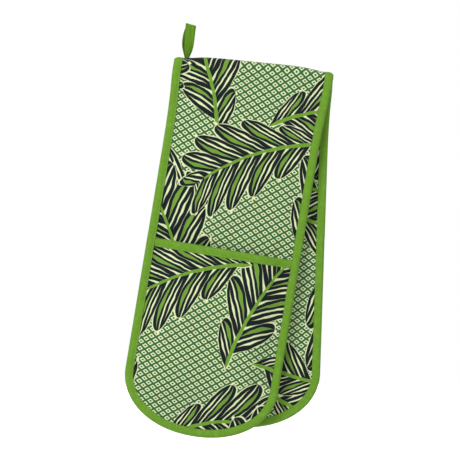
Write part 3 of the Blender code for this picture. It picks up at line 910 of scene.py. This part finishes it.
def loop_path():
    """The tape's middle line as rows of (level, height, turn): up the front, over the top and down behind."""
    front_base = LOOP_SEAT + LOOP_TAPE / 2
    front = OUTER_RADIUS + GAP + LOOP_TAPE / 2
    rear_base = front_base + LOOP_TAPE + GAP
    rear = front + 2 * LOOP_BEND_RADIUS
    bend_height = LOOP_TOP - LOOP_TAPE / 2 - LOOP_BEND_RADIUS
    heights = np.linspace(LOOP_BASE_HEIGHT, bend_height, LOOP_ROWS, endpoint=False)
    rise = smooth((heights - LOOP_BASE_HEIGHT) / LOOP_LEG_RISE)
    up = joined(front_base + (front - front_base) * rise, heights, 0)
    turns = np.linspace(0, math.pi, LOOP_BEND_ROWS)
    level = front + LOOP_BEND_RADIUS * (1 - np.cos(turns))
    over = joined(level, bend_height + LOOP_BEND_RADIUS * np.sin(turns), 0)
    falling = heights[::-1]
    bulge = smooth((falling - LOOP_BASE_HEIGHT) / LOOP_BULGE_HEIGHT)
    share = (bend_height - falling) / (bend_height - LOOP_BASE_HEIGHT)
    down = joined(rear_base + (rear - rear_base) * bulge, falling, share)
    return np.concatenate([up, over, down])


def tape_section(width, crease):
    """The tape in section as (across, out): two folded edges, hollowed a little, bent over a crease."""
    half, thick = width / 2, LOOP_TAPE / 2
    turns = np.linspace(0, math.tau, TAPE_POINTS, endpoint=False)
    across = np.sign(np.cos(turns)) * np.abs(np.cos(turns)) ** TAPE_SQUARENESS[0] * half
    out = np.sign(np.sin(turns)) * np.abs(np.sin(turns)) ** TAPE_SQUARENESS[1] * thick
    hem = TAPE_HEM * bell((np.abs(across) - half * TAPE_HEM_PLACE) / (half * TAPE_HEM_REACH))
    hollow = 1 - TAPE_HOLLOW * bell(across / (half * TAPE_HOLLOW_REACH)) + hem
    return across, out * hollow - crease * np.hypot(across / half - LOOP_CREASE_SHARE, LOOP_CREASE_ROUND)


def add_loop():
    level, height, turn = loop_path().T
    middle = joined(loop_centre(height, turn), level, height)
    twist = LOOP_TWIST * np.sin(math.pi * turn) + LOOP_TOP_SLANT * smooth(height / LOOP_TOP)
    twist = twist + LOOP_FOOT_TWIST * bell((height - LOOP_NECK) / LOOP_WIDENING)
    across = joined(np.cos(twist), np.sin(twist), 0)
    out = unit(np.cross(across, unit(np.gradient(middle, axis=0))))
    crease = LOOP_CREASE * bell(height / LOOP_CREASE_REACH) * smooth(height / LOOP_NECK)
    side, rise = tape_section(loop_width(height)[:, None], crease[:, None])
    fall = np.array([0, 0, -LOOP_TOP_FALL]) * smooth((height - LOOP_FALL_START) / LOOP_FALL_REACH)[:, None]
    rows = middle[:, None] + (across + fall)[:, None] * side[..., None] + out[:, None] * rise[..., None]
    uv = joined(side, distance_along(middle)[:, None])
    piece = tube("loop_tape", moved(rows, FOLD_FRAME), uv, "tape")
    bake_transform(piece)
    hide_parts("hanging_loop")
    add_loop_tail()


def add_loop_tail():
    """The tape's two sewn ends, one on the other, and the bar of thread that tacks them down."""
    top = LOOP_BASE_HEIGHT + TAIL_OVERLAP
    heights = np.linspace(top, LOOP_BASE_HEIGHT - GAP - TAIL_LENGTH, TAIL_ROWS)[:, None]
    across, out = tape_section(LOOP_BASE_WIDTH, 0)
    end = 1 - TAIL_TAPER * smooth((top - TAIL_LENGTH * TAIL_TAPER_START - heights) / TAIL_TAPER_REACH)
    for index, name in enumerate(("front", "rear")):
        level = LOOP_SEAT + LOOP_TAPE * (0.5 + index) * TAIL_STACK
        rows = joined(loop_centre(0, index) + across * end, level + out * end, heights)
        piece = tube(f"loop_tail_{name}", moved(rows, FOLD_FRAME), joined(across, heights), "tape")
        ride_for(piece, BACK.body, "loop_tail")
    turns = np.arange(TACK_TURNS * 2 + 1)
    side = loop_centre(0, 1) + (1 - 2 * (turns % 2)) * (LOOP_BASE_WIDTH / 2 - TACK_INSET)
    level = LOOP_SEAT + 2 * LOOP_TAPE * TAIL_STACK - LOOP_TAPE * TACK_SINK
    height = LOOP_BASE_HEIGHT - TACK_START - turns * TACK_STEP
    line = sampled(np.linspace(0, turns[-1], TACK_POINTS), turns, joined(side, level, height))
    above = line + np.array([0, LOOP_TAPE, 0])
    stitches = stitch_run("loop_tack_stitches", moved(line, FOLD_FRAME), moved(above, FOLD_FRAME))[0]
    ride_for(stitches, BACK.body, "loop_tack")


# Materials


def fill(tree, node, inputs):
    """Links a node's inputs to fields or sockets, or sets them to values."""
    for name, item in inputs.items():
        item = item.socket if isinstance(item, Field) else item
        if isinstance(item, bpy.types.NodeSocket):
            tree.links.new(item, node.inputs[name])
        else:
            node.inputs[name].default_value = item


def add_node(tree, kind, inputs=(), **settings):
    node = tree.nodes.new(f"ShaderNode{kind}")
    for name, value in settings.items():
        setattr(node, name, value)
    fill(tree, node, dict(inputs))
    return node


def new_material(name):
    """A material, its node tree and its Principled shader."""
    material = bpy.data.materials.new(name)
    material.use_nodes = True
    return material, material.node_tree, material.node_tree.nodes["Principled BSDF"]


class Field:
    """A number that varies over a surface, as a shader socket with arithmetic."""

    def __init__(self, tree, socket):
        self.tree = tree
        self.socket = socket

    def calculate(self, operation, *others, clamp=False):
        numbers = enumerate((self, *others))
        node = add_node(self.tree, "Math", numbers, operation=operation, use_clamp=clamp)
        return Field(self.tree, node.outputs[0])

    __add__ = partialmethod(calculate, "ADD")
    __sub__ = partialmethod(calculate, "SUBTRACT")
    __mul__ = partialmethod(calculate, "MULTIPLY")
    __truediv__ = partialmethod(calculate, "DIVIDE")
    scaled = partialmethod(calculate, "MULTIPLY_ADD")
    power = partialmethod(calculate, "POWER")
    size = partialmethod(calculate, "ABSOLUTE")
    whole = partialmethod(calculate, "FLOOR")
    part = partialmethod(calculate, "FRACT")
    sine = partialmethod(calculate, "SINE")
    least = partialmethod(calculate, "MINIMUM")
    most = partialmethod(calculate, "MAXIMUM")

    def rest(self):
        """What is missing to 1."""
        return self.scaled(-1, 1)

    def over(self, edge, softness):
        """1 where the value lies over edge, and 0 under it, with a soft step between."""
        return (self - edge).scaled(1 / softness, 0.5, clamp=True)

    def under(self, edge, softness):
        return self.over(edge, -softness)

    def wave(self, pitch):
        """A wave from 0 to 1 that comes back at each pitch."""
        return (self * (math.tau / pitch)).sine().scaled(0.5, 0.5)


def linear(colour):
    """A colour as shown on a screen, 0 to 255, turned into the linear value that shaders take."""
    shares = [channel / 255 for channel in colour]
    return (*[s / 12.92 if s <= 0.04045 else ((s + 0.055) / 1.055) ** 2.4 for s in shares], 1)


def mixed(tree, share, first, second):
    """The first colour where share is 0, turning to the second where it is 1."""
    inputs = dict(zip(MIX_INPUTS, (share, first, second)))
    return add_node(tree, "Mix", inputs, data_type="RGBA").outputs[MIX_OUTPUT]


class Cloth:
    """A material that starts from the cloth map, with a Principled shader at its end."""

    def __init__(self, name, roughness, sheen, shine):
        self.material, self.tree, self.shader = new_material(name)
        fill(self.tree, self.shader, {"Roughness": roughness, "Sheen Weight": sheen, "Sheen Roughness": 0.5,
                                      "Specular IOR Level": shine})
        self.place = add_node(self.tree, "UVMap", uv_map="cloth").outputs["UV"]
        split = add_node(self.tree, "SeparateXYZ", {"Vector": self.place})
        self.u, self.v = (Field(self.tree, split.outputs[axis]) for axis in "XY")

    def noise(self, scale, detail=2.0, place=None):
        inputs = {"Vector": place or self.place, "Scale": scale, "Detail": detail}
        return Field(self.tree, add_node(self.tree, "TexNoise", inputs).outputs[0])

    def streaks(self, scale, stretch):
        """Noise drawn out along the cloth."""
        place = add_node(self.tree, "CombineXYZ", {"X": self.u, "Y": self.v * stretch})
        return self.noise(scale, place=place.outputs[0])

    def weave(self, pitch, slant=0.0):
        """Height of a plain weave, from 0 to 1: threads across and along, over and under in turn."""
        u = self.u * math.cos(slant) + self.v * math.sin(slant)
        v = self.v * math.cos(slant) - self.u * math.sin(slant)
        across = (u * (math.tau / pitch)).sine()
        along = (v * (math.tau / pitch)).sine()
        return (across * along).scaled(0.5, 0.5)

    def dyed(self, colour, tone, shade):
        """The colour, turning to the share shade of itself where tone is 1."""
        tone = tone.calculate("MULTIPLY", 1.0, clamp=True)
        return mixed(self.tree, tone, linear(colour), linear([channel * shade for channel in colour]))

    def finished(self, colour, height, roughness, variation, relief):
        """The material, with its links made.

        variation is the (depth, scale) of slow changes of its lightness, and relief the
        (distance, strength) of its height.
        """
        (depth, scale), (distance, strength) = variation, relief
        lightness = self.noise(scale, detail=3.0).scaled(2 * depth, 1 - depth)
        toned = add_node(self.tree, "HueSaturation", {"Color": colour, "Value": lightness})
        bump = add_node(self.tree, "Bump", {"Height": height, "Distance": distance, "Strength": strength})
        fill(self.tree, self.shader, {"Base Color": toned.outputs["Color"], "Roughness": roughness,
                                      "Normal": bump.outputs["Normal"]})
        return self.material


def tiled(u, v, tile, offset):
    """Place inside a tile, from its middle. Every second column is mirrored and half a tile higher."""
    across = u.scaled(1 / tile[0], -offset[0])
    odd = (across.whole() * 0.5).part() * 2
    column = (across.part() - 0.5) * odd.scaled(-2, 1) * tile[0]
    row = ((v.scaled(1 / tile[1], -offset[1]) + odd * 0.5).part() - 0.5) * tile[1]
    return column, row


def frond(u, v, offset, turn, length, leaflets):
    """A palm frond in each tile: its halo of bare cloth, and the parts printed green, navy and cream."""
    column, row = tiled(u, v, FROND_TILE, offset)
    x = column * math.cos(turn) + row * math.sin(turn)
    y = row * math.cos(turn) - column * math.sin(turn)
    # s runs from 0 to 1 along the bent stalk, and a is the distance from it
    s = x.scaled(1 / length, 0.5)
    y = y + (s.scaled(2, -1) * s.scaled(2, -1)) * FROND_BEND
    a = y.size()
    side = y.over(0, 1e-5)
    # f runs across each leaflet, and e from its foot to its tip
    base = s - a * (a.scaled(-FROND_CURL, 1)) * (1 / (length * math.tan(FROND_SPLAY)))
    count = base * leaflets + side * 0.5
    f = count.part() - 0.5
    own = (count.whole() - side * 0.5).scaled(1 / leaflets, 0.5 / leaflets)
    reach = (own.scaled(*LEAF_REACH, clamp=True) * math.pi).sine().power(0.55) * FROND_REACH
    e = (a / reach.most(0.001)).least(2)
    width = e.rest().most(0).power(0.5) * e.scaled(*LEAF_BREADTH)
    there = own.over(-0.02, 0.01) * own.under(1.02, 0.01)
    leaf = f.size().under(width, EDGE_SOFT) * e.under(1, 0.02) * there
    halo = (f.size() - width).under(LEAF_HALO, EDGE_SOFT) * e.under(1.07, 0.02) * there
    pointed = s.scaled(1 / STALK_POINT, -STALK_SPAN[0] / STALK_POINT, clamp=True).power(0.6)
    from_stalk = a - s.scaled(*STALK_TAPER).most(STALK_LEAST) * pointed
    on_stalk = s.over(STALK_SPAN[0], 0.005) * s.under(STALK_SPAN[1], 0.005)
    stalk = from_stalk.under(0, STALK_SOFT) * on_stalk
    stalk_halo = from_stalk.under(STALK_HALO, STALK_SOFT) * on_stalk
    # g runs from -1 to 1 across the leaflet, with a green streak on one half and a pale one on the other
    g = f / width.most(0.02)
    no_vein = g.size().over(VEIN, VEIN_SOFT)
    upper = g.over(0, VEIN_SOFT)
    lower = upper.rest()
    fade = (e - STREAK_MIDDLE).size().scaled(-1, STREAK_REACH).most(0)
    green_streak = (g - 0.5).size().under(fade * 0.46, STREAK_SOFT)
    pale_streak = (g + 0.5).size().under((fade - 0.1) * 0.34, STREAK_SOFT)
    dark = (upper * green_streak).most(lower * pale_streak).rest()
    green = (leaf * upper * green_streak * no_vein).most(stalk)
    navy = leaf * dark * no_vein * stalk.rest()
    return halo.most(stalk_halo), green, navy, leaf * lower * pale_streak


def lattice(u, v):
    """How much of the ground is printed: a lattice of diamonds with a dot in each."""
    a = u.scaled(1 / LATTICE_WIDE, 0) + v.scaled(1 / LATTICE_HIGH, 0)
    b = u.scaled(1 / LATTICE_WIDE, 0) - v.scaled(1 / LATTICE_HIGH, 0)
    across, along = (a.part() - 0.5).size(), (b.part() - 0.5).size()
    lines = across.most(along).over(0.5 - LATTICE_LINE, 0.05)
    dots = (across * across + along * along).under(LATTICE_DOT**2, 0.02)
    return lines.most(dots)


def print_material():
    cloth = Cloth("printed_cotton", roughness=0.85, sheen=0.02, shine=0.12)
    wander_u = cloth.noise(70, detail=1.0).scaled(2 * HAND_WANDER, -HAND_WANDER)
    wander_v = cloth.noise(85, detail=1.0).scaled(2 * HAND_WANDER, -HAND_WANDER)
    ground = lattice(cloth.u + wander_u * LATTICE_WANDER, cloth.v + wander_v * LATTICE_WANDER)
    colour = mixed(cloth.tree, ground, linear(CREAM), linear(GROUND_GREEN))
    u, v = cloth.u + wander_u, cloth.v + wander_v
    for kind in FRONDS:
        for share, ink in zip(frond(u, v, *kind), (CREAM, LEAF_GREEN, NAVY, CREAM)):
            colour = mixed(cloth.tree, share, colour, linear(ink))
    ribs = (cloth.u + cloth.v * TWILL_SLANT).wave(TWILL_PITCH)
    colour = mixed(cloth.tree, ribs * 0.10, colour, linear(NAVY))
    height = ribs * 0.55 + cloth.weave(WEAVE_PITCH) * 0.25 + cloth.noise(2600) * 0.35
    return cloth.finished(colour, height, roughness=ribs.scaled(0.1, 0.74),
                          variation=(0.05, 60), relief=(0.00018, 0.7))


def binding_material():
    cloth = Cloth("bias_binding_cotton", roughness=0.8, sheen=0.04, shine=0.15)
    threads = cloth.weave(0.0009, slant=math.radians(45))
    fibres = cloth.noise(1800, detail=3.0)
    slubs = cloth.noise(520, detail=3.0)
    tone = threads * 0.3 + fibres * 0.2 + slubs.over(0.45, 0.2) * 0.14
    worn = cloth.noise(140, detail=4.0).over(0.58, 0.2) * 0.16
    pale = linear([channel + 30 for channel in BINDING_GREEN])
    colour = mixed(cloth.tree, worn, cloth.dyed(BINDING_GREEN, tone, shade=0.6), pale)
    height = threads * 0.6 + fibres * 0.5 + slubs * 0.5
    return cloth.finished(colour, height, roughness=fibres.scaled(0.2, 0.68),
                          variation=(0.07, 45), relief=(0.00022, 0.9))


def tape_material():
    cloth = Cloth("loop_tape_cotton", roughness=0.78, sheen=0.03, shine=0.15)
    ribs = cloth.u.wave(0.0011)
    picks = cloth.v.wave(0.0006)
    fibres = cloth.noise(1500, detail=3.0)
    streaks = cloth.streaks(420, stretch=0.08).over(0.5, 0.25)
    tone = ribs * 0.12 + picks * 0.06 + fibres * 0.16 + streaks * 0.4
    colour = cloth.dyed(TAPE_GREEN, tone, shade=0.68)
    height = ribs * 0.7 + picks * 0.3 + fibres * 0.3
    return cloth.finished(colour, height, roughness=fibres.scaled(0.2, 0.66),
                          variation=(0.07, 90), relief=(0.0002, 0.8))


def thread_material():
    cloth = Cloth("sewing_thread", roughness=0.55, sheen=0.1, shine=0.35)
    plies = (cloth.v + cloth.u * 0.7).wave(0.0005)
    colour = cloth.dyed(THREAD_GREEN, plies * 0.35, shade=0.6)
    return cloth.finished(colour, plies, roughness=cloth.noise(2500).scaled(0.2, 0.45),
                          variation=(0.08, 300), relief=(0.00008, 0.8))


def lining_material():
    cloth = Cloth("plain_lining_cotton", roughness=0.85, sheen=0.1, shine=0.25)
    threads = cloth.weave(0.0008)
    slubs = cloth.noise(700)
    colour = cloth.dyed(LINING, threads * 0.1 + slubs * 0.18, shade=0.8)
    height = threads * 0.6 + slubs * 0.4
    return cloth.finished(colour, height, roughness=slubs.scaled(0.15, 0.76),
                          variation=(0.05, 50), relief=(0.00015, 0.7))


def wadding_material():
    cloth = Cloth("white_wadding", roughness=0.95, sheen=0.2, shine=0.2)
    fibres = cloth.noise(900, detail=6.0)
    clumps = cloth.noise(120, detail=3.0)
    colour = cloth.dyed(WADDING, fibres * 0.2 + clumps * 0.15, shade=0.85)
    height = fibres * 0.6 + clumps * 0.6
    return cloth.finished(colour, height, roughness=fibres.scaled(0.1, 0.88),
                          variation=(0.04, 40), relief=(0.0008, 0.8))


# The studio


def add_studio():
    scene = bpy.context.scene
    scene.view_settings.view_transform = "Standard"
    camera = linked("camera", bpy.data.cameras.new("camera"))
    camera.data.lens = LENS
    camera.data.sensor_width = SENSOR
    camera.location = (CAMERA_X, FOLD_AXIS.y - CAMERA_DISTANCE, CAMERA_Z)
    camera.rotation_euler = (math.radians(90), 0, 0)
    scene.camera = camera
    for name, place, power, size in LAMPS:
        data = bpy.data.lights.new(name, "AREA")
        data.energy = power
        data.size = size
        lamp = linked(name, data)
        lamp.location = place
        lamp.rotation_mode = "QUATERNION"
        lamp.rotation_quaternion = (Vector(LAMP_AIM) - Vector(place)).to_track_quat("-Z", "Y")
    add_white_world()
    add_floor()


def seen_directly(tree):
    """1 for rays from the camera, and for those that gloss or glass sends on, else 0."""
    rays = add_node(tree, "LightPath").outputs
    names = ("Is Camera Ray", "Is Glossy Ray", "Is Transmission Ray")
    camera, glossy, through = (Field(tree, rays[name]) for name in names)
    return camera.most(glossy).most(through)


def add_white_world():
    world = bpy.data.worlds.new("white_world")
    bpy.context.scene.world = world
    world.use_nodes = True
    tree = world.node_tree
    strength = seen_directly(tree).scaled(1 - AMBIENT, AMBIENT)
    fill(tree, tree.nodes["Background"], {"Color": WHITE, "Strength": strength})


def add_floor():
    bm = bmesh.new()
    bmesh.ops.create_grid(bm, x_segments=8, y_segments=8, size=FLOOR_REACH)
    mesh = bpy.data.meshes.new("floor")
    bm.to_mesh(mesh)
    bm.free()
    floor = linked("floor", mesh)
    floor.location = (0, 0, FLOOR_HEIGHT)
    material, tree, shader = new_material("white_floor")
    place = add_node(tree, "TexCoord").outputs["Object"]
    far = add_node(tree, "VectorMath", {0: place}, operation="LENGTH")
    lift = Field(tree, far.outputs["Value"]).scaled(FLOOR_FADE, FLOOR_LIFT)
    fill(tree, shader, {"Base Color": FLOOR_GREY, "Roughness": 0.9, "Emission Color": WHITE,
                        "Emission Strength": seen_directly(tree) * lift})
    mesh.materials.append(material)


def main():
    for slot, make in (("print", print_material), ("lining", lining_material), ("wadding", wadding_material),
                       ("binding", binding_material), ("tape", tape_material), ("thread", thread_material)):
        materials[slot] = make()
    add_studio()
    add_edge_binding()
    for arm in (FRONT, BACK):
        add_mouth_binding(arm)
        add_pocket(arm)
    add_strip()
    add_loop()


main()
